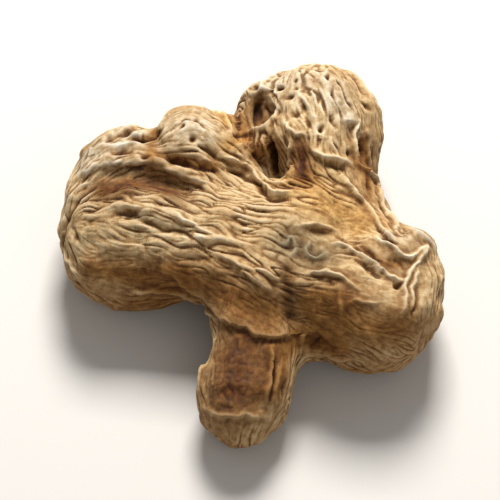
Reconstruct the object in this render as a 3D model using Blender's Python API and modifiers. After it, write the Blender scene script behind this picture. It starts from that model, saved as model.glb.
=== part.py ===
"""Dried ginger root: one shrivelled rhizome with four stubby fingers, lying on its flattened underside.

Run with: blender --background --python part.py
Blender's units are metres, and the sizes named here are in millimetres. +Z is up, and the origin is on
the surface that the root lies on, under the middle of its box.
"""

import math

import bpy
from mathutils import Euler, Vector

MM = 0.001
NAME = "ginger_rhizome"
COLLECTION = "dried_ginger_root"

SKIN_COLOUR = (0.50, 0.37, 0.22, 1.0)
SKIN_ROUGHNESS = 0.9
SKIN_GRAIN = 1.55  # voxel size of the skin grown over the swellings
SMOOTHING = 0.5  # how far one round moves a point towards its neighbours
MELT_ROUNDS = 8  # rounds that melt one swelling into the next
RIM_ROUNDS = 2  # rounds that blunt the rims of the hollows
LUMP_SIZE = 9.0  # width of the lumps that drying leaves
LUMP_HEIGHT = 2.2
TABLE_WIDTH = 200.0
TABLE_THICKNESS = 20.0

# Each finger is a row of swellings: centre, half-sizes, and turn in degrees about X, Y and Z.
SWELLINGS = {
    "heart": [
        ((1, 1, 11.5), (15, 12, 9.5), (0, 0, 0)),
        ((4, -4, 11.5), (12, 11, 9.2), (0, 0, 0)),
        ((9, 8, 11), (12, 12, 9.4), (0, 0, 0)),
        ((15.5, 7, 10.5), (9.2, 12, 8.5), (0, 0, 15)),
    ],
    "left_hand": [
        ((-15.5, 6.5, 10.2), (17.5, 14, 10.7), (0, 0, -8)),
        ((-20.5, 4.5, 9.5), (12.7, 12.5, 10), (0, 0, 0)),
        ((-10, 18, 12.5), (9.8, 9.8, 9.4), (0, 0, 0)),
        ((-20, 12.8, 10.4), (12.2, 11.7, 9.8), (0, 0, 20)),
    ],
    "upper_finger": [
        ((9.5, 16, 11), (12, 14, 11.6), (0, 0, 0)),
        ((11, 25.3, 12), (12, 12, 11.5), (0, 0, 0)),
        ((4.5, 25.3, 12.5), (8.8, 9.5, 9.8), (0, 0, 0)),
    ],
    "right_hand": [
        ((18, -8, 10.2), (14, 12, 10.8), (0, 0, -25)),
        ((23.5, -4, 11), (9.4, 9.4, 9.4), (0, 0, 0)),
        ((22, -11.5, 9.4), (8.8, 8.4, 9), (0, 0, 0)),
    ],
    "lower_finger": [
        ((1, -14, 8), (8.2, 10, 7.8), (0, 0, 0)),
        ((-0.7, -21.5, 7), (8.2, 9, 7.5), (0, 0, 0)),
        ((-2, -25.3, 6.7), (7.2, 7.6, 7.4), (0, 0, 0)),
    ],
}

# Hollows pressed into the skin: centre, half-sizes and turn, as above.
HOLLOWS = {
    "bud_pit": ((3.5, 14.5, 20.5), (3.0, 4.5, 6.5), (0, 0, 20)),
    "scale_scar": ((2, 23.5, 22), (3.2, 4.5, 3.8), (0, 0, 0)),
    "left_dent": ((-14, 9, 22.7), (12, 3.5, 4.0), (0, 0, -14)),
}


def clear_scene():
    for old in list(bpy.data.objects):
        bpy.data.objects.remove(old)


def add_ellipsoid(name, centre, half_sizes, turn):
    bpy.ops.mesh.primitive_uv_sphere_add(segments=40, ring_count=24, radius=1.0)
    ball = bpy.context.active_object
    ball.name = name
    ball.location = Vector(centre) * MM
    ball.scale = Vector(half_sizes) * MM
    ball.rotation_euler = Euler([math.radians(angle) for angle in turn])
    return ball


def add_table():
    """A slab whose top is the surface that the root lies on."""
    bpy.ops.mesh.primitive_cube_add(size=1.0)
    table = bpy.context.active_object
    table.name = "table"
    table.scale = Vector((TABLE_WIDTH, TABLE_WIDTH, TABLE_THICKNESS)) * MM
    table.location.z = -TABLE_THICKNESS / 2 * MM
    return table


def joined(name, pieces):
    bpy.ops.object.select_all(action="DESELECT")
    for piece in pieces:
        piece.select_set(True)
    bpy.context.view_layer.objects.active = pieces[0]
    bpy.ops.object.join()
    whole = bpy.context.active_object
    whole.name = name
    bpy.ops.object.transform_apply(location=True, rotation=True, scale=True)
    return whole


def remesh(root, name):
    skin = root.modifiers.new(name, "REMESH")
    skin.mode = "VOXEL"
    skin.voxel_size = SKIN_GRAIN * MM
    skin.use_smooth_shade = True


def smooth(root, name, rounds):
    melt = root.modifiers.new(name, "SMOOTH")
    melt.factor = SMOOTHING
    melt.iterations = rounds


def cut_away(root, cutter):
    cutter.hide_render = True
    cutter.display_type = "WIRE"
    cut = root.modifiers.new(cutter.name, "BOOLEAN")
    cut.operation = "DIFFERENCE"
    cut.object = cutter


def shrivel(root):
    """Pushes the skin in and out, in the broad uneven lumps that drying leaves."""
    lumps = bpy.data.textures.new("lumps", "CLOUDS")
    lumps.noise_scale = LUMP_SIZE * MM
    lumps.noise_depth = 1
    uneven = root.modifiers.new("shrivel", "DISPLACE")
    uneven.texture = lumps
    uneven.texture_coords = "LOCAL"
    uneven.strength = LUMP_HEIGHT * MM
    uneven.mid_level = 0.5


def skin_material():
    skin = bpy.data.materials.new("dried_skin")
    skin.use_nodes = True
    shader = skin.node_tree.nodes["Principled BSDF"]
    shader.inputs["Base Color"].default_value = SKIN_COLOUR
    shader.inputs["Roughness"].default_value = SKIN_ROUGHNESS
    shader.inputs["Metallic"].default_value = 0.0
    return skin


def move_to_collection(name, pieces):
    drawer = bpy.data.collections.new(name)
    bpy.context.scene.collection.children.link(drawer)
    for piece in pieces:
        for old in list(piece.users_collection):
            old.objects.unlink(piece)
        drawer.objects.link(piece)


def centre_on_origin(root, cutters):
    """Moves the root and its cutters together, so that the middle of the root's box is over the origin."""
    stand = bpy.data.objects.new("stand", None)
    bpy.context.scene.collection.objects.link(stand)
    for piece in [root, *cutters]:
        piece.parent = stand
    bpy.context.view_layer.update()
    skin = root.evaluated_get(bpy.context.evaluated_depsgraph_get()).data
    for axis in (0, 1):
        places = [vertex.co[axis] for vertex in skin.vertices]
        stand.location[axis] = -(min(places) + max(places)) / 2


def main():
    clear_scene()
    swellings = [
        add_ellipsoid(finger, *swelling)
        for finger, row in SWELLINGS.items()
        for swelling in row
    ]
    hollows = [add_ellipsoid(name, *shape) for name, shape in HOLLOWS.items()]
    table = add_table()
    root = joined(NAME, swellings)
    root.data.materials.append(skin_material())
    remesh(root, "grow_skin")
    smooth(root, "melt_swellings", MELT_ROUNDS)
    for hollow in hollows:
        cut_away(root, hollow)
    remesh(root, "regrow_skin")
    smooth(root, "soften_rims", RIM_ROUNDS)
    shrivel(root)
    cut_away(root, table)
    move_to_collection(COLLECTION, [root])
    move_to_collection("cutters", [*hollows, table])
    centre_on_origin(root, [*hollows, table])


main()
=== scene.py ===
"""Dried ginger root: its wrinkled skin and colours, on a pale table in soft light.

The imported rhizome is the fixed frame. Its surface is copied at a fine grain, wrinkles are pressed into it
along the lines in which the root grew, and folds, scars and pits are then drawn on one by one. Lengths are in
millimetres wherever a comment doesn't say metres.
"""

import math

import bmesh
import bpy
import numpy as np
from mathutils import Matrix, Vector
from mathutils.bvhtree import BVHTree


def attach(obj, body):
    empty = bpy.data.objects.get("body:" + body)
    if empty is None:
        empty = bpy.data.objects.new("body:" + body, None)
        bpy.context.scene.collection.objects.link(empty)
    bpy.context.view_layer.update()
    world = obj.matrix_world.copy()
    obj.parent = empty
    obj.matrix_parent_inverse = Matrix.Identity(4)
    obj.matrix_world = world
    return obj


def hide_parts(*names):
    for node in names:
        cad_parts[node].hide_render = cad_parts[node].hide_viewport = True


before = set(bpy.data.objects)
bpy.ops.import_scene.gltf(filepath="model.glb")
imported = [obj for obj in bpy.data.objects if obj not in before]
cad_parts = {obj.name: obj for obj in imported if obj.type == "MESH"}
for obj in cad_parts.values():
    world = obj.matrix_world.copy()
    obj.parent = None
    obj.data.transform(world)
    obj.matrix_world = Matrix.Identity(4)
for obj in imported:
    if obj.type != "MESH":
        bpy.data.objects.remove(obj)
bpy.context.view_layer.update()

MM = 0.001
NODE = "ginger_rhizome"
PIECE = "ginger_root"

# Sides of the root, as azimuth and elevation in degrees.
CAMERA_SIDE = (0, 57)
BACK = (180, 30)
LEFT_END = (270, 20)
RIGHT_END = (90, 20)
UNDERSIDE = (0, -90)

VIEW_SPAN = 84.0  # width of the picture at the root
CAMERA_DISTANCE = 450.0

HEART_HEIGHT = 10.5  # height of the point that all sides are drawn round

SKIN_GRAIN = 0.185  # size of the skin's faces
MELT_ROUNDS = 56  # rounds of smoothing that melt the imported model's facets
STAND_OFF = 0.3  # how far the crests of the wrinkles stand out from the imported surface

CELL = 0.8  # size of the cells that hold the direction of growth
GUIDE_REACH = 3.6  # how far a guide line turns the wrinkles round it
STEP = 0.4  # length of one step along a wrinkle
STEPS = 12  # steps each way, enough for the longest wrinkles

# Kinds of wrinkle: (seed of its noise, width from crease to crease, length along the line of growth).
COARSE = (1, 2.1, 10)
MEDIUM = (2, 1.15, 7)
SHORT = (8, 1.05, 4.4)
FINE = (3, 0.58, 4.0)

# How deep each kind of wrinkle goes.
COARSE_DEPTH = 0.31
MEDIUM_DEPTH = 0.34
SHORT_DEPTH = 0.38
FINE_DEPTH = 0.35
PEBBLE_DEPTH = 0.60

DRAWN_SHARE = 0.8  # how much of their height the drawn folds and creases keep
DRAWN_WOBBLE = 0.55  # how far the drawn lines wander
DRAWN_CALM = 0.45  # how much of the wrinkles fades beside a drawn line
FORM_BLEND = 12  # rounds of smoothing that blend the broad forms into the skin
BROAD_CREST = (75, 0.45)  # rounds of smoothing for the level that a broad crest stands above, and its height
FINE_CREST = (12, 0.125)  # the same for a fine crest

# Lines of growth, which the wrinkles follow, drawn on each side of the root: millimetres to the right of and
# above its middle, as seen from that side.
GROWTH = {
    CAMERA_SIDE: (
        ((-28, 16), (-21, 19.5), (-14, 21)),
        ((-25, 17.5), (-15, 22.5)),
        ((-27, 11), (-20, 14), (-12, 12), (-4, 9)),
        ((-29, 7), (-14, 6), (5, -1)),
        ((-27, 1), (-10, -1), (5, -10)),
        ((-22, -5), (-8, -7.5), (2, -14)),
        ((-31.5, -3), (-31.5, 6), (-28, 14)),
        ((-4, 10), (12, 6), (22, 2)),
        ((5, 9), (14, 7), (20, 4.5)),
        ((-5, 16), (0, 12), (5, 9), (8, 11)),
        ((5, 28), (5, 20), (8, 12)),
        ((6, 28), (10, 20), (12, 12)),
        ((12, 30), (16, 22), (17, 14)),
        ((18, 28), (21, 20), (21, 12)),
        ((20, 16), (22, 9), (27, 2), (29, 0)),
        ((9, -1), (16, -3), (26, -8)),
        ((7, -6), (16, -7), (27, -12)),
        ((8, -12), (16, -12), (26, -15)),
        ((12, 3), (20, 0), (25, -4)),
        ((29, -1), (29.5, -8), (27, -15)),
        ((-2, -13), (-3, -22), (-4, -30)),
        ((5, -13), (5, -22), (2, -29)),
        ((-8, -16), (-8, -24)),
    ),
    BACK: (
        ((5, 0), (16, 1), (28, -2)),
        ((5, -6), (14, -6), (27, -8)),
        ((6, -12), (16, -13), (26, -12)),
        ((-20, -2), (-18, -8), (-13, -12)),
        ((-12, 3), (-10, -4), (-11, -11)),
        ((-1, -2), (-3, -8), (-8, -12)),
        ((-20, -15), (-17, -16), (-13, -14)),
        ((-3, -17), (-5, -15), (-9, -14)),
        ((-12, -20), (-11, -17), (-11, -15)),
        ((0, -2), (2, -8), (3, -14)),
        ((-31, 6), (-26, -1), (-22, -6)),
    ),
    LEFT_END: (
        ((-12, 0), (-7, -5), (-3, -9)),
        ((8, -2), (5, -6), (1, -9)),
        ((-13, -11), (-7, -11), (-3, -11)),
        ((6, -13), (4, -12), (1, -11)),
    ),
    UNDERSIDE: (
        ((-30, -6), (-10, -8), (2, -12), (6, -20), (7, -31)),
        ((-30, 2), (-10, 0), (8, 4), (28, 12)),
        ((-29, 8), (-12, 8), (-6, 14), (-5, 30)),
        ((29, 18), (14, 17), (7, 22), (5, 31)),
        ((30, 4), (19, 0), (15, -10), (18, -28)),
        ((0, 33), (1, 16), (1, 7)),
        ((12, -33), (11, -20), (8, -9)),
    ),
}

# Broad swellings and hollows: (half-width, height, points), with a height under 0 for a hollow. Where two
# half-widths are given, the first is to the left of the line and the second to its right.
FORMS = {
    CAMERA_SIDE: (
        (4.2, 2.2, (-23, 17.6), (-20, 19), (-16.6, 19.8)),
        (4.0, 2.4, (-11.6, 20.4), (-10.6, 19.2)),
        (1.0, -1.1, (-16.8, 22), (-16, 19.4), (-15, 17)),
        (1.3, -1.2, (-14.6, 16), (-11.6, 14.9), (-8.2, 15)),
        (1.1, 1.0, (-28.5, 12.6), (-24, 14.4), (-17.3, 14.9), (-12.5, 13.4), (-6, 12)),
        ((1.0, 2.8), -1.0, (-25.6, 12.2), (-21, 13.1), (-16.5, 12.6), (-12, 11.2), (-9, 10.4)),
        (1.5, 0.7, (-28, 8.8), (-25.8, 9)),
        (1.0, 0.7, (-24.4, 6.4), (-21, 7.6), (-17.5, 7), (-13.4, 5.4), (-10, 3.4)),
        (1.6, -1.1, (4, -1.6), (4.8, -5.6), (5.2, -9.6), (6, -13)),
        (4.5, 0.9, (13, -4), (15, -10)),
        (1.9, -1.9, (2.2, 17.2), (3.2, 15), (4.2, 13)),
        (1.6, -1.2, (8.6, 17.2), (8.6, 13)),
        (1.5, -1.6, (1.6, 25), (1.8, 22)),
        (1.5, -1.1, (25, 7.6), (25.6, 5), (26.2, 2.4)),
        (3.0, 0.8, (10, 27), (13, 22)),
    ),
    BACK: (
        (1.8, -1.4, (1, -2), (3, -8), (5, -14.5)),
        (1.5, -1.3, (-18, 1), (-21.5, -3.5), (-24, -7.5)),
        (2.0, -0.7, (16.2, -1), (15.2, -4), (16.6, -9), (19, -14)),
        (3.8, 0.8, (9.5, -5)),
        (4.0, 0.8, (23.5, -4)),
        (3.0, 0.9, (-15, -3)),
        (3.2, 0.7, (-6, -14)),
        (2.2, -0.5, (-11, -13)),
        (2.2, 0.7, (-7, -7), (-5, -11)),
    ),
    LEFT_END: (
        (1.8, -0.4, (-1, -10)),
        (2.5, 0.7, (5, -5)),
        (2.5, 0.6, (-8, -6)),
    ),
    UNDERSIDE: (
        (1.7, -1.1, (-7, 9), (0, 7.6), (8, 10)),
        (1.7, -1.0, (-3, -14), (2, -10), (4, -6)),
    ),
}

# Folds and creases: (half-width, height, points), with a height under 0 for a crease.
LEFT_LOBE = (
    (0.6, -1.6, (-22.6, 19), (-21, 19.7), (-19.8, 20.4)),
    (0.6, -2.0, (-19.4, 18.6), (-17.2, 18.7), (-15.2, 19.7)),
    (0.5, 0.8, (-21, 20.6), (-18.6, 21), (-16.8, 21.6)),
    (0.5, -1.2, (-18.4, 20.6), (-16.4, 21.6)),
    (0.55, -1.5, (-22.8, 16), (-20.2, 16.4)),
    (0.5, 0.7, (-23.6, 17.4), (-20, 17.6), (-17.6, 17.2)),
    (0.45, -1.0, (-21.2, 13.6), (-17.2, 13.9)),
    (0.6, 0.4, (-28.9, 12.7), (-25.1, 14.1), (-19.7, 14.6), (-16.8, 15)),
    (0.8, 0.8, (-16.6, 16), (-14.6, 14.2), (-10.4, 12.4), (-6.4, 10.6)),
    (0.6, -1.4, (-14.4, 15.6), (-11.2, 14.6), (-5.7, 13.2)),
    (0.5, 0.9, (-8.2, 15.8), (-5.9, 13.7)),
    (0.5, -1.3, (-9, 17.6), (-7, 16.6), (-4.4, 15)),
    (0.6, 0.6, (-24.3, 6.3), (-21.8, 7.3), (-17.7, 6.8)),
    (0.7, -1.2, (-23.4, 5.4), (-21, 6), (-17.8, 5.4)),
    (0.5, -1.0, (-18.2, 5), (-14.6, 3.5), (-11, 3), (-9.2, 1.5)),
    (0.5, 0.6, (-13, 6.3), (-9.8, 4.3), (-5.2, 2.2), (-0.8, 1)),
    (0.6, -0.8, (-4.7, 5.3), (0.4, 4)),
    (0.4, 0.5, (-31.4, 5.2), (-31.4, -0.8)),
    (0.4, -0.9, (-30.6, 7.2), (-31, 1.2)),
    (0.5, -0.9, (-29.7, 3.6), (-28.1, 1)),
    ((2.2, 0.4), 0.7, (-15, -3.4), (-13, -3.9), (-10.3, -6.2), (-7, -8.2), (-4.7, -11.3)),
    (0.4, 1.0, (-19.6, -7), (-15.6, -6.6), (-12, -7), (-9.4, -8.2), (-7.4, -9.8), (-5.4, -11.6)),
)
UPPER_FINGER = (
    (0.5, -1.2, (1.4, 25.4), (0.8, 21)),
    (0.35, 0.7, (2.2, 25), (2.4, 21.6)),
    ((0.4, 0.9), 1.2, (4.2, 26), (5.4, 24), (4.4, 22), (2, 20.2), (-0.4, 20)),
    (0.5, 0.5, (0.3, 26.4), (2, 27.6), (4.8, 26.4), (6, 24.4)),
    (0.7, -2.2, (0.2, 16.4), (2.2, 14.8)),
    (0.55, -2.6, (3.2, 18.8), (3.9, 16.2), (4.3, 13.2)),
    (0.3, 1.5, (2, 18.4), (2.9, 16.2), (3.2, 13.6)),
    (0.4, 1.1, (6.9, 18.2), (7.1, 13.1)),
    (0.8, -0.7, (8.6, 17.4), (8.8, 13)),
    (0.6, 1.0, (-2, 17.6), (-1, 18)),
    (0.5, -1.5, (-3, 19.3), (-0.4, 19.4)),
    (0.4, 1.0, (-5, 15.6), (-2, 14.9), (-0.2, 13.8), (1.6, 11.5), (4.2, 9.6), (6.6, 9.8)),
    (0.3, 0.7, (-3, 16.6), (-0.6, 15.2), (1.4, 12.9), (3.6, 11.2), (6, 11.4)),
    (0.5, -1.3, (-4, 13.6), (0.6, 11.6), (3.2, 8.8), (7, 8.3)),
    (0.55, -1.6, (18.9, 25.3), (21, 23.8)),
    (0.5, -1.5, (13.2, 22.8), (14.2, 20.7)),
    (0.45, -1.1, (16, 26), (17.6, 23.6)),
    (0.45, -1.1, (8.6, 25.4), (9.4, 23)),
    (0.4, -1.0, (11.4, 19.4), (12, 17.2)),
    (0.4, -0.9, (9.4, 22), (9.8, 20)),
    (0.6, 1.0, (10.2, 17.2), (11.5, 15.9), (13.8, 15.4), (16.9, 14.6)),
    (0.7, -1.2, (12, 14.6), (16.4, 13.2)),
    (0.45, 0.7, (5.6, 22.3), (6.9, 20), (9.6, 19.2)),
    (0.4, 0.6, (13.3, 18.7), (14.3, 16.2)),
    (0.5, 0.4, (8, 26.8), (10.8, 22), (11.6, 18)),
    (0.35, -1.2, (6.2, 31.6), (7.4, 30.8)),
    (0.35, -1.2, (4, 30.6), (5.2, 29.8)),
    (0.35, -1.2, (11, 31), (12.4, 30.2)),
    (0.35, -1.2, (9.2, 27.3), (10.3, 26)),
    (0.35, -1.1, (13.4, 26.8), (14.4, 25.4)),
    (0.35, -1.1, (13.8, 18), (14.8, 16.4)),
)
RIGHT_FOLDS = (
    (0.8, 0.8, (14.6, 21.5), (16.8, 22), (18.4, 21.6)),
    (0.4, 1.1, (18.4, 21.6), (17.6, 19.7), (17.4, 17.7), (18.2, 14.4)),
    (0.42, 1.1, (18.2, 14.4), (21, 12.6), (21.7, 9.8), (22.6, 7), (24, 5.2), (24.4, 3.4)),
    (0.8, -1.9, (18.9, 19.2), (19.2, 14.6)),
    (0.6, -1.5, (21, 17.7), (21.2, 13.8)),
    (0.4, 0.5, (20, 20), (20.2, 14.8)),
    (0.7, -1.3, (19.7, 12), (20.4, 9.5)),
    (0.5, -1.5, (21.7, 8.5), (23.2, 5.2)),
    (0.38, 1.0, (15.4, 12.3), (17.6, 9.5), (19.7, 7), (22, 3.4), (23.5, 2.4)),
    (0.5, -1.6, (21, 4.4), (22.5, 2.1), (24.5, 1.1)),
    (0.6, -1.3, (25.4, 4), (26, 2.4)),
)
RIGHT_LOBE = (
    (0.5, 0.8, (26.6, 3.6), (28.6, 2.2), (30.6, 0.6)),
    (0.45, 1.1, (21, 2.1), (23.5, 0.1), (25.8, -1.2), (29.1, 0.6)),
    (0.9, -1.3, (22.3, -1.3), (24.8, -2.4)),
    (0.4, 1.1, (13.8, 1), (16, 0.5), (18.1, -0.7), (20.3, -2.2), (22.3, -4.1), (24.5, -5)),
    (0.6, -1.3, (17, -1.2), (19.4, -2.8), (21.6, -4.8)),
    (0.6, -1.1, (18.4, 0.4), (21.6, -2)),
    (0.4, 0.9, (9.6, -3.8), (12.7, -3.6), (15.3, -4.7), (17, -6.1)),
    (0.5, -0.9, (10.8, -5), (14.4, -5.4)),
    (0.45, 1.0, (29.3, 0.4), (27, -2.4), (25.4, -5.2), (25.1, -8.6), (24.8, -10.8)),
    (0.4, 0.6, (27.6, -2.8), (26.6, -6), (26.4, -10)),
    (0.6, -0.9, (27.6, -5.8), (26.2, -11.4)),
    (0.35, 0.6, (5.7, 1.2), (6.8, 2), (7.6, 0.4), (6.4, -1.2)),
    (0.4, 0.7, (9.6, 1.5), (9.2, -0.4), (10.8, -1.4), (12.4, -0.4)),
    (0.7, -1.1, (9.6, 3.5), (12.7, 2.6)),
    (0.5, 0.5, (8, 4), (12, 4.2), (14.4, 2.8)),
    (0.5, -0.9, (14, 2.4), (16, 1.4)),
    (0.4, 0.5, (14.4, -7.2), (15, -10.8)),
    (0.4, 0.5, (16, -8.2), (21, -8.6)),
    (0.5, 0.8, (12.4, -17.2), (14.4, -17.8), (17, -17.6)),
    (0.4, 0.8, (9.4, -13), (8.4, -15.2)),
)
LOWER_FINGER = (
    (0.5, 0.5, (-10, 2.4), (-4.4, 1.5), (-1.6, 0.8)),
    (0.5, 0.7, (-5, -0.7), (-1.6, -2.4), (2.4, -3.6), (4.6, -5.2)),
    (0.45, 0.6, (-2.2, -3), (0.8, -4.4), (4, -7.2)),
    ((3.0, 0.35), 1.1, (-4.7, -11.3), (-1, -12.8), (0.7, -14), (3.2, -14.3), (6.3, -13.9)),
    (0.5, 1.0, (3.5, -16), (3.5, -18.4), (2.4, -24.9)),
    (0.45, 0.7, (4.9, -18.7), (4.2, -22.8)),
    (0.45, -1.2, (4.2, -18), (3.4, -24.4)),
    (0.6, -1.0, (5.7, -20.7), (5.2, -24.3)),
    (0.5, 0.6, (-7.5, -18), (-8.4, -22.8)),
    (0.6, 0.8, (-7.2, -25.7), (-5.2, -26.6), (-3, -26.8), (-0.8, -26.4), (1.2, -27)),
    (0.5, -0.4, (-5.4, -24.8), (-2.8, -25.6)),
)
STROKES = {
    CAMERA_SIDE: (*LEFT_LOBE, *UPPER_FINGER, *RIGHT_FOLDS, *RIGHT_LOBE, *LOWER_FINGER),
    BACK: (
        (0.7, 0.4, (15.4, -1), (13.8, -4), (14.6, -8), (17.6, -13.6)),
        (0.4, -0.6, (16.6, -1.6), (15.6, -4), (17, -8)),
        (0.5, -1.3, (1.6, -3), (3.2, -8.6), (5, -13.4)),
        (0.5, 1.0, (3, -1), (5, -6), (6.8, -12)),
        (0.45, -1.0, (7, 1.6), (10, 1), (13, 1.4)),
        (0.5, 0.8, (18.4, -6.4), (21, -7.2), (24, -7)),
        (0.5, -1.1, (18.6, -7.8), (22, -8.6), (25.4, -8)),
        (0.5, 0.8, (5.4, -8.4), (9, -9.4), (13.4, -9)),
        (0.45, -1.0, (6.6, -10.2), (10, -11), (13.4, -10.6)),
        (0.5, 0.6, (-21, -5), (-19, -8), (-16, -10.4)),
        (0.5, -0.9, (-19.6, -5), (-17.6, -7.6), (-15, -9)),
        (0.5, 0.6, (-1.6, -3), (-2.6, -6.6), (-5.6, -9.4)),
        (0.5, -0.9, (-3.4, -2.6), (-4.2, -5.6), (-6.6, -8)),
        (0.45, -0.8, (-9, -1), (-9.2, -4), (-10.4, -6.4)),
        (0.5, 0.6, (-13.4, 0), (-12.6, -3), (-13, -6.4)),
    ),
    LEFT_END: (
        (0.5, 0.8, (-10, -1), (-7, -4.6), (-3.6, -8)),
        (0.5, -1.1, (-8, -1), (-5.4, -4), (-2.6, -7.4)),
        (0.5, 0.8, (6.6, -8), (4.4, -8.6), (1.6, -9.4)),
        (0.5, -1.0, (-11, -11), (-7, -11.4), (-3.6, -11)),
    ),
    UNDERSIDE: (
        (0.7, 0.45, (-22, 10), (-23.4, 5), (-22.2, 0), (-24, -5), (-22.6, -11)),
        (0.4, -0.6, (-21, 8), (-22, 3), (-21, -2), (-22.4, -6)),
        (0.6, 0.45, (-8, 18.4), (-4, 16.4), (0, 15.8), (4, 16.8), (8, 18.6)),
        (0.4, -0.6, (-5, 18), (-1, 17), (4, 18)),
        (0.7, 0.45, (2, -19), (6, -21), (11, -21.4), (16, -20), (21, -18)),
        (0.4, -0.6, (6, -22.4), (11, -23), (16, -21.4)),
        (0.6, 0.4, (23.4, 19), (25, 14), (24.6, 9), (26.4, 3)),
        (0.5, -1.2, (-6, 9.4), (0, 8), (7, 10)),
        (0.5, -1.2, (-2, -13), (2, -9.6), (4, -6)),
    ),
}
# Small pits: (half-width, height, places).
PITS = (
    (0.55, -1.5, (-23.8, 18.6), (-17.7, 15.6), (-11.6, 20.8), (-9.6, 18.6), (-9, 22)),
    (0.45, -1.4, (1.6, 29.7), (1, 27.6), (13, 29.2), (4.9, 27.4)),
    (0.45, -1.4, (6.7, 25.8), (11.8, 20.2), (16.6, 16.2), (15.2, 28.2)),
    (0.8, -1.3, (7.8, 23)),
    (0.5, -1.7, (24.1, -5.8)),
    (1.0, -1.1, (24.3, 3)),
    (1.4, -2.2, (10.8, -15.3)),
)
# Round scars of old roots and buds, on each side: (radius, place).
SCARS = {
    BACK: (
        (1.7, (-11, -13)),
        (0.9, (9, -4)),
        (0.8, (20.6, -11.4)),
        (0.8, (27.6, -2)),
        (0.7, (-17, -16)),
        (0.8, (-28, -1)),
    ),
    LEFT_END: ((1.5, (-1, -10)), (0.7, (-9, -8))),
    RIGHT_END: ((0.9, (-9, -7)), (0.7, (18, -4)), (0.7, (-27, -5))),
    UNDERSIDE: (
        (1.0, (-27, 2)),
        (0.8, (-10, 3)),
        (0.9, (-9, -12)),
        (1.1, (2, 1)),
        (0.8, (13, 2)),
        (0.9, (27, 13)),
        (0.8, (3, 22)),
        (0.9, (-2, 28)),
        (0.8, (14, -25)),
        (1.0, (8, -29)),
    ),
}
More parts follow.
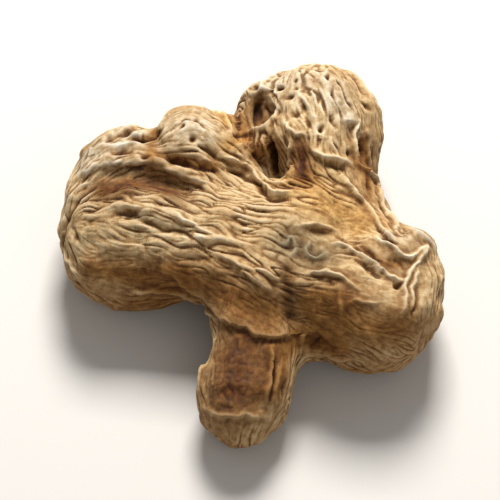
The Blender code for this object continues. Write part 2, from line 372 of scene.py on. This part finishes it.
# Where the skin differs from the rest, or where shade or highlight is painted on, on each side: (radius,
# points).
MARKS = {
    "calm": {
        CAMERA_SIDE: (
            (4.5, (-13, 21), (-9, 21)),
            (3.5, (-27, 15), (-21, 18.5)),
            (3.5, (7, 6), (13, 5)),
            (3.5, (29, -5), (28, -11)),
            (4.5, (-12, -5), (-3, -8), (3, -10)),
            (3.5, (-25, -5), (-15, -6)),
            (5.0, (-30, 2), (-25, -3)),
            (5.0, (13, -13), (24, -13)),
            (6.0, (-3, -19), (-4, -28)),
            (3.5, (4, -18), (3, -25)),
            (3.0, (8, 28), (14, 28)),
            (2.4, (-24, 11), (-18, 11.6), (-12, 10)),
            (2.5, (10, -8), (20, -9)),
        ),
        BACK: ((4.0, (9.5, -5)), (4.0, (23, -2), (26, -4)), (3.5, (-15, -3)), (3.5, (-5, -16))),
        UNDERSIDE: ((4.0, (-26, -4)), (4.0, (-8, -6)), (5.0, (12, 8)), (4.0, (0, 25)), (4.0, (12, -27))),
    },
    "rough": {
        CAMERA_SIDE: (
            (5.5, (-2, -18), (-3, -26)),
            (3.2, (6.5, 1.4), (11, -0.6)),
            (1.6, (1.4, 24.6), (2, 21.6)),
            (1.8, (8.5, -14.5), (13, -16)),
        ),
        UNDERSIDE: ((5.0, (-14, 6), (-4, 0)),),
    },
    "dashes": {
        CAMERA_SIDE: ((4.5, (9, 28), (13, 26), (13, 20)), (3.0, (8, 21))),
        BACK: ((5.0, (-14, -2), (-5, -4)), (4.0, (26, 0))),
    },
    "thin": {
        CAMERA_SIDE: ((5.0, (18, 21), (20, 12), (24, 4)), (6.0, (16, 0), (24, -4))),
    },
    "ochre": {
        CAMERA_SIDE: ((4.0, (8, 12), (13, 7.5), (19, 4)), (1.4, (-4, 17.6), (-1, 18.6))),
        BACK: ((1.8, (4, -3), (6, -11)), (2.4, (-20, 0))),
    },
    "ash": {
        CAMERA_SIDE: ((3.4, (6.5, 1.2), (11.5, -0.6)), (1.2, (2.6, 12.4), (5.4, 12))),
    },
    # Darker brown skin with painted shadow: over the lower finger, the dent and two hollows.
    "dark_brown_and_painted_shadow": {
        CAMERA_SIDE: (
            (5.6, (-2, -17), (-2.5, -22)),
            (1.2, (6, -3), (6.5, -11)),
            (2.8, (-24, 10.2), (-18, 11), (-13, 9.6)),
            (1.4, (1.4, 24.6), (2, 21.6)),
            (1.6, (8.6, 17), (8.8, 13)),
        ),
    },
    # Pale dust with painted highlight on the lit tops of the cap, the upper finger and the right lobe.
    "dust_and_painted_highlight": {
        CAMERA_SIDE: (
            (4.0, (-13, 21), (-9, 21)),
            (2.2, (-27, 15), (-20, 19.5)),
            (4.0, (4, 29), (14, 28)),
            (2.5, (20, 3), (29, 2)),
        ),
        BACK: ((3.5, (22, 1), (27, -1)), (3.0, (-16, 0))),
    },
    # Browner skin with painted shade: in the creases, the dent and the hollows, and under the lobes.
    "brown_and_painted_shade": {
        CAMERA_SIDE: (
            (3.4, (-24, 10.2), (-19, 10.8), (-13, 9.6)),
            (0.8, (-23, 18.8), (-19.8, 20.4)),
            (0.8, (-19.4, 18.4), (-15.2, 19.6)),
            (0.8, (-22.8, 16), (-20.2, 16.4)),
            (2.2, (-19, -9), (-12, -9)),
            (2.2, (8.5, -14.5), (14, -16)),
            (1.4, (-15, 15.5), (-11, 14.6), (-6, 14)),
            (2.0, (1.4, 24.6), (2, 21.6)),
            (2.2, (1, 16.4), (3.4, 17.5), (4.4, 13)),
            (1.9, (8.6, 17.5), (8.8, 12)),
            (1.2, (19.4, 18), (20, 9)),
            (3.0, (-26, -3), (-14, -5)),
            (4.3, (-11, -4.5), (-3, -7.5), (3, -10)),
            (4.5, (12, -12.5), (24, -12.5)),
            (2.5, (10, -8), (15, -8)),
            (6.0, (-2, -17), (-2.5, -22.5)),
            (2.6, (5, -17), (4, -22)),
            (1.0, (18.4, 0.4), (21.6, -2), (24.6, -2.5)),
        ),
        BACK: (
            (1.8, (1, -2), (3, -8), (5, -14.5)),
            (1.6, (-18, 1), (-21.5, -3.5), (-24, -7.5)),
            (1.2, (17, 3), (15.8, -3), (16.4, -9)),
            (1.3, (-11, -13)),
        ),
        LEFT_END: ((1.4, (-1, -10)),),
        UNDERSIDE: ((1.4, (-7, 9), (0, 7.6), (8, 10)), (1.4, (-3, -14), (2, -10), (4, -6))),
    },
}
MARK_STRENGTH = {"calm": 0.88, "thin": 0.8, "brown_and_painted_shade": 0.95, "dark_brown_and_painted_shadow": 0.9}

# Colours of the skin, from the bottom of a crease to the top of a crest: the dark end is painted shade in the
# creases, the pale end painted highlight on the crests.
PAINTED_CREASE_SHADE_TO_CREST_HIGHLIGHT = (
    (0.0, (0.105, 0.049, 0.017)),
    (0.28, (0.235, 0.130, 0.052)),
    (0.46, (0.40, 0.27, 0.132)),
    (0.62, (0.59, 0.46, 0.275)),
    (1.0, (0.73, 0.65, 0.51)),
)
# What the skin's colour is multiplied by under each of these marks.
TINTS = {
    "ochre": (1.05, 0.88, 0.58),
    "ash": (0.36, 0.38, 0.38),
    # paler, for the dust and painted highlight
    "dust_and_painted_highlight": (0.99, 1.10, 1.36),
    # browner, for the brown skin and painted shade
    "brown_and_painted_shade": (0.48, 0.302, 0.108),
}
WHITE = (1.0, 1.0, 1.0)


class Noise:
    """Smooth gradient noise in space. Its values lie mostly between -0.6 and 0.6."""

    def __init__(self, seed, size=32):
        self.size = size
        slopes = np.random.default_rng(seed).normal(size=(size**3, 3))
        slopes /= np.linalg.norm(slopes, axis=1, keepdims=True)
        self.slopes = slopes.astype(np.float32)

    def __call__(self, places):
        base = np.floor(places)
        part = (places - base).astype(np.float32)
        base = base.astype(np.int32) % self.size
        ahead = (base + 1) % self.size
        ease = part * part * part * (part * (part * 6 - 15) + 10)
        total = np.zeros(len(places), np.float32)
        for corner in np.ndindex(2, 2, 2):
            x, y, z = (ahead[:, k] if corner[k] else base[:, k] for k in range(3))
            slope = self.slopes.take((x * self.size + y) * self.size + z, axis=0)
            rise = sum(slope[:, k] * (part[:, k] - corner[k]) for k in range(3))
            for k in range(3):
                rise *= ease[:, k] if corner[k] else 1 - ease[:, k]
            total += rise
        return total


def fine_skin(node):
    """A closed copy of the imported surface, at a fine even grain, with the facets smoothed away."""
    mesh = node.data.copy()
    sewing = bmesh.new()
    sewing.from_mesh(mesh)
    bmesh.ops.remove_doubles(sewing, verts=sewing.verts, dist=SKIN_GRAIN * MM / 100)
    sewing.to_mesh(mesh)
    sewing.free()
    root = bpy.data.objects.new(PIECE, mesh)
    bpy.context.scene.collection.objects.link(root)
    grain = root.modifiers.new("grain", "REMESH")
    grain.mode = "VOXEL"
    grain.voxel_size = SKIN_GRAIN * MM
    melt = root.modifiers.new("melt", "SMOOTH")
    melt.iterations = MELT_ROUNDS
    graph = bpy.context.evaluated_depsgraph_get()
    root.data = bpy.data.meshes.new_from_object(root.evaluated_get(graph))
    root.modifiers.clear()
    root.data.name = PIECE
    root.data.shade_smooth()
    return root


def lay_out(root):
    """Gives the skin a map for its colours while it's still smooth, so that the map has few seams."""
    bpy.context.view_layer.objects.active = root
    root.select_set(True)
    bpy.ops.object.mode_set(mode="EDIT")
    bpy.ops.mesh.select_all(action="SELECT")
    bpy.ops.uv.smart_project(angle_limit=math.radians(66), island_margin=0.004)
    bpy.ops.object.mode_set(mode="OBJECT")
    root.data.uv_layers.active.name = "OFBake"


def read_points(mesh, what="co"):
    """A vector from every vertex: its place or its normal."""
    values = np.empty(len(mesh.vertices) * 3, np.float32)
    mesh.vertices.foreach_get(what, values)
    return values.reshape(-1, 3)


class Skin:
    """The smooth surface in millimetres, with what is needed to draw on it and to spread values over it."""

    def __init__(self, root):
        mesh = root.data
        self.points = read_points(mesh) / MM
        self.normals = read_points(mesh, "normal")
        ends = np.empty(len(mesh.edges) * 2, np.int32)
        mesh.edges.foreach_get("vertices", ends)
        self.ends = ends.reshape(-1, 2)
        self.neighbours = np.bincount(ends, minlength=len(self.points))
        self.tree = BVHTree.FromObject(root, bpy.context.evaluated_depsgraph_get())

    def spread(self, values, rounds):
        """The values after this many rounds of averaging with their neighbours'."""
        first, second = self.ends.T
        for _ in range(rounds):
            total = np.bincount(first, values[second], len(values))
            total += np.bincount(second, values[first], len(values))
            values = (values + total / self.neighbours) / 2
        return values

    def cast(self, side, place):
        """The point of the skin under a point drawn on that side."""
        right, up, towards = side_axes(*side)
        start = Vector((0, 0, HEART_HEIGHT)) + right * place[0] + up * place[1]
        far = 100
        hit = self.tree.ray_cast((start + towards * far) * MM, -towards)[0]
        if hit is None:
            hit = self.tree.find_nearest(start * MM)[0]
        return np.array(hit) / MM

    def draw(self, side, places, spacing=0.3):
        """A smooth line through the points drawn on that side, laid on the skin."""
        return np.array([self.cast(side, place) for place in smooth_line(places, spacing)])


def side_axes(azimuth, elevation):
    """Right, up, and towards the eye, for an eye on that side. Azimuth 0 looks along +Y."""
    a, e = math.radians(azimuth), math.radians(elevation)
    towards = Vector((math.sin(a) * math.cos(e), -math.cos(a) * math.cos(e), math.sin(e)))
    right = Vector((math.cos(a), math.sin(a), 0))
    return right, towards.cross(right), towards


def smooth_line(places, spacing):
    """Points a spacing apart on the Catmull-Rom curve through these places."""
    places = [np.array(place, float) for place in places]
    if len(places) == 1:
        return places
    ends = [2 * places[0] - places[1], *places, 2 * places[-1] - places[-2]]
    line = []
    for before, start, stop, after in zip(ends, ends[1:], ends[2:], ends[3:]):
        count = max(1, math.ceil(np.linalg.norm(stop - start) / spacing))
        for t in np.arange(count) / count:
            bend = 2 * before - 5 * start + 4 * stop - after
            twist = 3 * (start - stop) + after - before
            line.append(start + t / 2 * (stop - before + t * (bend + t * twist)))
    return [*line, places[-1]]


def growth_cells(skin):
    """The direction of growth in each cell that the skin passes through, as one dense block of directions."""
    low = skin.points.min(axis=0) - 3 * CELL
    shape = np.ceil((skin.points.max(axis=0) + 3 * CELL - low) / CELL).astype(int)
    flat = np.ravel_multi_index(((skin.points - low) / CELL).astype(int).T, shape)
    cells, owner = np.unique(flat, return_inverse=True)
    count = np.bincount(owner)
    centres = np.stack([np.bincount(owner, skin.points[:, k]) / count for k in range(3)], axis=1)
    normals = np.stack([np.bincount(owner, skin.normals[:, k]) / count for k in range(3)], axis=1)
    normals /= np.linalg.norm(normals, axis=1, keepdims=True)
    headings = waver(headings_at(centres, normals, *guide_lines(skin)), centres, normals)
    block = np.zeros((*shape, 3), np.float32)
    block.reshape(-1, 3)[cells] = headings
    for _ in range(3):
        block = grown(block)
    return low, block


def guide_lines(skin):
    """Places along all lines of growth, and the direction of each line there."""
    places, headings = [], []
    for side, lines in GROWTH.items():
        for line in lines:
            laid = skin.draw(side, line, spacing=1.0)
            steps = np.diff(laid, axis=0)
            lengths = np.linalg.norm(steps, axis=1)
            sound = (lengths > 0.2) & (lengths < 4)
            places.append(laid[:-1][sound])
            headings.append(steps[sound] / lengths[sound, None])
    return np.concatenate(places), np.concatenate(headings)


def headings_at(centres, normals, places, headings):
    """The main direction of the guide lines round each centre, along the skin."""
    gaps = ((centres[:, None] - places[None]) ** 2).sum(axis=2)
    weights = np.exp(-gaps / (2 * GUIDE_REACH**2)) + 1e-3 / (1 + gaps)
    crosses = np.einsum("ij,ik->ijk", headings, headings)
    mixed = np.einsum("ij,jkl->ikl", weights, crosses)
    flatten = np.eye(3) - np.einsum("ij,ik->ijk", normals, normals)
    return np.linalg.eigh(flatten @ mixed @ flatten)[1][:, :, 2]


def waver(headings, centres, normals):
    """The headings turned a little to either side, so that wrinkles wander, join and part."""
    turn = 0.8 * Noise(11)(centres / 5.0) + 0.75 * Noise(12)(centres / 2.4)
    sideways = np.cross(normals, headings)
    return headings * np.cos(turn)[:, None] + sideways * np.sin(turn)[:, None]


def grown(block):
    """The block with each empty cell beside a filled one taking its direction."""
    out = block.copy()
    for axis in range(3):
        for way in (-1, 1):
            empty = (out == 0).all(axis=3)
            out[empty] = np.roll(block, way, axis=axis)[empty]
    return out


def paths_along(skin):
    """For each point of the skin, the places passed by walking along its wrinkle both ways."""
    low, block = growth_cells(skin)
    last = np.array(block.shape[:3]) - 1

    def heading_at(places):
        cell = np.clip(((places - low) / CELL).astype(int), 0, last)
        return block[cell[:, 0], cell[:, 1], cell[:, 2]]

    walks = {0: skin.points}
    for way in (-1, 1):
        places, heading = skin.points, way * heading_at(skin.points)
        for step in range(1, STEPS + 1):
            places = places + STEP * heading
            ahead = heading_at(places)
            ahead = ahead * np.sign(np.einsum("ij,ij->i", ahead, heading))[:, None]
            still = ~ahead.any(axis=1)
            ahead[still] = heading[still]
            heading = ahead
            walks[way * step] = places
    return walks


def streaks(walks, seed, width, length):
    """Noise smeared along the wrinkles, about a width from crease to crease. Its spread is 1."""
    noise = Noise(seed)
    reach = round(length / 2 / STEP)
    total = 0
    for step in range(-reach, reach + 1):
        share = math.cos(step / (reach + 1) * math.pi / 2) ** 2
        total = total + share * noise(walks[step] / width)
    return (total - total.mean()) / total.std()


def folded(streak, thin):
    """A relief from -1 to 0: rounded folds parted by sharp creases, or thin crests where thin is 1."""
    away = np.tanh(1.3 * np.abs(streak))
    return -((1 - thin) * (1 - away) + thin * away)


def near_marks(skin, marks):
    """1 on the skin under these marks, and fading out over about the radius of each."""
    total = np.zeros(len(skin.points))
    squares = (skin.points**2).sum(axis=1)
    for side, drawn in marks.items():
        for radius, *places in drawn:
            line = skin.draw(side, places, spacing=radius / 2)
            across = (line**2).sum(axis=1) - 2 * skin.points @ line.T
            total += np.exp(-(across.min(axis=1) + squares) / radius**2)
    return np.clip(total, 0, 1)


def drawn_relief(skin, strokes, wobbly):
    """The height that these strokes add to the skin, and how much each point lies on one of them."""
    height = np.zeros(len(skin.points))
    touched = np.zeros(len(skin.points))
    for side, drawn in strokes.items():
        for width, rise, *places in drawn:
            left, right = width if isinstance(width, tuple) else (width, width)
            spacing = max(0.3, min(left, right) / 3)
            line = skin.draw(side, places, spacing)
            reach = 3 * max(left, right)
            near = ((wobbly > line.min(axis=0) - reach) & (wobbly < line.max(axis=0) + reach)).all(axis=1)
            offsets = wobbly[near][:, None] - line[None].astype(np.float32)
            nearest = (offsets**2).sum(axis=2).argmin(axis=1)
            offset = offsets[np.arange(len(nearest)), nearest]
            gap = np.linalg.norm(offset, axis=1)
            if left != right:
                leftwards = np.cross(skin.normals[near], np.gradient(line, axis=0)[nearest])
                gap /= np.where((offset * leftwards).sum(axis=1) > 0, left, right)
            else:
                gap /= left
            along = np.minimum(nearest, len(line) - 1 - nearest) * spacing
            taper = np.clip(0.25 + along / (4 * min(left, right)), 0, 1) if len(line) > 1 else 1.0
            height[near] += rise * np.exp(-(gap**1.5)) * taper
            touched[near] = np.maximum(touched[near], np.exp(-((gap / 2) ** 2)))
    return height, touched


def pit_strokes():
    """One stroke for each pit."""
    return tuple((width, rise, place) for width, rise, *places in PITS for place in places)


def scar_strokes(radius, place):
    """A shallow hollow with a low rim round it."""
    turns = np.linspace(0, 2 * math.pi, 9)
    rim = [(place[0] + radius * math.cos(turn), place[1] + radius * math.sin(turn)) for turn in turns]
    return (0.3, 0.3, *rim), (0.25 + 0.45 * radius, -0.5, place), (0.3, 0.25, place)


def all_strokes():
    """The strokes of every side, with its pits and scars."""
    strokes = {side: tuple(drawn) for side, drawn in STROKES.items()}
    strokes[CAMERA_SIDE] += pit_strokes()
    for side, scars in SCARS.items():
        for scar in scars:
            strokes[side] = (*strokes.get(side, ()), *scar_strokes(*scar))
    return strokes


def wrinkle_relief(skin, walks, masks):
    """The height of the wrinkles that cover the whole root."""
    thin, calm, rough, dashes = (masks[name] for name in ("thin", "calm", "rough", "dashes"))
    places = skin.points
    swell = np.clip(1 + 1.6 * Noise(4)(places / 7.0) + 0.9 * Noise(9)(places / 13.0), 0.15, 1.8)
    swell_fine = np.clip(1 + 2.2 * Noise(5)(places / 3.5) + 1.4 * Noise(10)(places / 9.0), 0.1, 2.0)
    pebbles = folded(3 * Noise(6)(places / 0.9), 0.5) + 0.7 * folded(3 * Noise(7)(places / 1.7), 0.3)
    dents = -np.clip(-streaks(walks, *SHORT) - 0.9, 0, 1.5)
    coarse_share = swell * (1 - calm) * (1 - 0.6 * dashes)
    medium_share = swell_fine * (1 - 0.75 * calm) * (1 - 0.4 * dashes) * (1 - 0.9 * rough)
    fine_share = (1 - 0.3 * calm) * (1 - 0.8 * rough)
    return (
        COARSE_DEPTH * coarse_share * folded(streaks(walks, *COARSE), thin)
        + MEDIUM_DEPTH * medium_share * folded(streaks(walks, *MEDIUM), thin)
        + SHORT_DEPTH * dashes * dents
        + FINE_DEPTH * fine_share * folded(streaks(walks, *FINE), 0.4)
        + PEBBLE_DEPTH * rough * pebbles
    )


def press_forms(root):
    """Moves the smooth skin out and in at the broad forms."""
    skin = Skin(root)
    height, _ = drawn_relief(skin, FORMS, skin.points)
    lumps = 0.7 * Noise(31)(skin.points / 4.5) + 0.4 * Noise(32)(skin.points / 2.4)
    move_skin(root, skin, skin.spread(height + lumps, FORM_BLEND))


def move_skin(root, skin, height):
    """Moves each point out along its normal by its height, but never below the table."""
    moved = skin.points + skin.normals * height[:, None]
    moved[:, 2] = np.maximum(moved[:, 2], 0)
    root.data.vertices.foreach_set("co", (moved * MM).astype(np.float32).ravel())
    root.data.update()


def shape_skin(root):
    """Presses the wrinkles and the drawn lines into the skin, and stores on it what its colours depend on."""
    skin = Skin(root)
    masks = skin_masks(skin)
    walks = paths_along(skin)
    wobble = np.stack([Noise(seed)(skin.points / 1.7) for seed in (21, 22, 23)], axis=1)
    drawn, touched = drawn_relief(skin, all_strokes(), skin.points + DRAWN_WOBBLE * wobble)
    wrinkles = wrinkle_relief(skin, walks, masks) * (1 - DRAWN_CALM * touched)
    height = wrinkles + DRAWN_SHARE * drawn + STAND_OFF
    move_skin(root, skin, height)
    # The crest value sets the colour: low in the creases for painted shade, high on the crests for painted
    # highlight.
    crests = [(height - skin.spread(height, rounds)) / rise for rounds, rise in (BROAD_CREST, FINE_CREST)]
    masks["crest"] = np.clip(0.55 * crests[0] + 0.45 * crests[1], -1, 1)
    for name, values in masks.items():
        store = root.data.attributes.new(name, "FLOAT", "POINT")
        store.data.foreach_set("value", values.astype(np.float32))


def skin_masks(skin):
    """How much of each kind of skin, and of each painted shade and highlight, there is at each point."""
    masks = {name: near_marks(skin, marks) * MARK_STRENGTH.get(name, 1) for name, marks in MARKS.items()}
    # Painted shade on faces that turn down and away from the key light, added to the brown mark.
    painted_underside_shade = np.clip(0.4 - skin.normals @ (0, 0.35, 0.75), 0, 1)
    masks["brown_and_painted_shade"] = 1 - (1 - masks["brown_and_painted_shade"]) * (1 - 0.8 * painted_underside_shade)
    return masks


class Nodes:
    """Builds a material's nodes in short lines."""

    def __init__(self, name):
        self.material = bpy.data.materials.new(name)
        self.material.use_nodes = True
        self.tree = self.material.node_tree
        self.shader = self.tree.nodes["Principled BSDF"]

    def new(self, kind, inputs=(), **settings):
        node = self.tree.nodes.new(kind)
        for key, value in settings.items():
            setattr(node, key, value)
        for key, value in dict(inputs).items():
            self.feed(node.inputs[key], value)
        return node

    def feed(self, socket, value):
        if isinstance(value, bpy.types.NodeSocket):
            self.tree.links.new(value, socket)
        else:
            socket.default_value = value

    def attribute(self, name):
        return self.new("ShaderNodeAttribute", attribute_name=name).outputs["Fac"]

    def math(self, operation, a, b, clamp=False):
        return self.new(
            "ShaderNodeMath", {0: a, 1: b}, operation=operation, use_clamp=clamp
        ).outputs[0]

    def noise(self, scale, detail=3.0, roughness=0.55):
        place = self.new("ShaderNodeTexCoord").outputs["Object"]
        settings = {"Vector": place, "Scale": scale, "Detail": detail, "Roughness": roughness}
        return self.new("ShaderNodeTexNoise", settings).outputs["Fac"]

    def ramp(self, value, *stops):
        node = self.new("ShaderNodeValToRGB", {"Fac": value})
        marks = node.color_ramp.elements
        while len(marks) < len(stops):
            marks.new(0.5)
        for mark, (place, colour) in zip(marks, stops):
            mark.position = place
            mark.color = (*colour, 1)
        return node.outputs["Color"]

    def mix(self, share, below, above, blend="MIX"):
        node = self.new("ShaderNodeMix", data_type="RGBA", blend_type=blend)
        for key, value in ((0, share), (6, below), (7, above)):
            value = (*value, 1) if isinstance(value, tuple) else value
            self.feed(node.inputs[key], value)
        return node.outputs[2]


def skin_material():
    """Matt tan skin with painted shade in the creases and on faces turned from the light, painted highlight
    with some dust on the crests and lit tops, and patches of other tints.
    """
    nodes = Nodes("dried_ginger_skin")
    crest = nodes.math("MULTIPLY_ADD", nodes.attribute("crest"), 0.5)
    crest.node.inputs[2].default_value = 0.5
    grain = nodes.math("SUBTRACT", nodes.noise(900), 0.5)
    crest = nodes.math("ADD", crest, nodes.math("MULTIPLY", grain, 0.65), clamp=True)
    # Painted shade in the creases and painted highlight on the crests.
    colour = nodes.ramp(crest, *PAINTED_CREASE_SHADE_TO_CREST_HIGHLIGHT)
    mottle = nodes.ramp(nodes.noise(180, 4), (0.35, (0.80, 0.72, 0.60)), (0.65, WHITE))
    colour = nodes.mix(0.8, colour, mottle, "MULTIPLY")
    cloud = nodes.ramp(nodes.noise(70, 2), (0.35, (0.80, 0.70, 0.56)), (0.6, WHITE))
    colour = nodes.mix(0.7, colour, cloud, "MULTIPLY")
    # Dark brown with painted shadow, mottled.
    dark_brown_and_painted_shadow = nodes.ramp(nodes.noise(750, 3), (0.4, (0.22, 0.13, 0.052)), (0.62, (0.52, 0.36, 0.16)))
    # Each tint is mixed in under its mask; the brown and dark brown ones carry painted shade, the pale one
    # painted highlight with dust.
    for name, tint in {**TINTS, "dark_brown_and_painted_shadow": dark_brown_and_painted_shadow}.items():
        tinted = nodes.mix(1.0, colour, tint, "MULTIPLY")
        colour = nodes.mix(nodes.attribute(name), colour, tinted)
    nodes.feed(nodes.shader.inputs["Base Color"], colour)
    rough = nodes.new("ShaderNodeMapRange", {0: nodes.noise(400), 1: 0.3, 2: 0.7, 3: 0.72, 4: 0.95})
    nodes.feed(nodes.shader.inputs["Roughness"], rough.outputs[0])
    nodes.shader.inputs["Specular IOR Level"].default_value = 0.3
    bump = nodes.new(
        "ShaderNodeBump",
        {"Strength": 0.6, "Distance": 0.15 * MM, "Height": nodes.noise(1500, 4, 0.65)},
    )
    nodes.feed(nodes.shader.inputs["Normal"], bump.outputs[0])
    return nodes.material


def make_root():
    """Makes the whole skin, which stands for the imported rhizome."""
    root = fine_skin(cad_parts[NODE])
    press_forms(root)
    lay_out(root)
    shape_skin(root)
    root.data.materials.clear()
    root.data.materials.append(skin_material())
    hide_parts(NODE)
    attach(root, "root")


def make_floor():
    """A plain pale table, 4 metres across."""
    bpy.ops.mesh.primitive_plane_add(size=4.0)
    floor = bpy.context.active_object
    floor.name = "floor"
    nodes = Nodes("pale_floor")
    nodes.shader.inputs["Base Color"].default_value = (0.62, 0.61, 0.595, 1)
    nodes.shader.inputs["Roughness"].default_value = 0.9
    floor.data.materials.append(nodes.material)


def add_light(name, place, size, power, colour):
    """A square soft lamp at that place in metres, aimed at the root."""
    lamp = bpy.data.lights.new(name, "AREA")
    lamp.size = size
    lamp.energy = power
    lamp.color = colour
    holder = bpy.data.objects.new(name, lamp)
    bpy.context.scene.collection.objects.link(holder)
    holder.location = place
    holder.rotation_euler = (-Vector(place)).to_track_quat("-Z", "Y").to_euler()


def make_lights():
    """Soft light from high behind the root, a weak fill from the front, and an even pale sky."""
    add_light("key", (0.03, 0.39, 0.465), 0.22, 6.5, (1.0, 0.965, 0.92))
    add_light("fill", (0.25, -0.45, 0.45), 0.5, 0.6, (1.0, 0.96, 0.92))
    world = bpy.data.worlds.new("studio")
    bpy.context.scene.world = world
    world.use_nodes = True
    sky = world.node_tree.nodes["Background"]
    sky.inputs["Color"].default_value = (1.0, 0.955, 0.89, 1)
    sky.inputs["Strength"].default_value = 0.33
    bpy.context.scene.view_settings.view_transform = "Standard"


def make_camera():
    """A long lens that looks at the root's middle from the camera's side."""
    heart = Vector((0, 0, HEART_HEIGHT)) * MM
    towards = side_axes(*CAMERA_SIDE)[2]
    camera = bpy.data.cameras.new("camera")
    camera.lens = camera.sensor_width * CAMERA_DISTANCE / VIEW_SPAN
    holder = bpy.data.objects.new("camera", camera)
    bpy.context.scene.collection.objects.link(holder)
    holder.location = heart + towards * CAMERA_DISTANCE * MM
    holder.rotation_euler = towards.to_track_quat("Z", "Y").to_euler()
    bpy.context.scene.camera = holder


make_root()
make_floor()
make_lights()
make_camera()
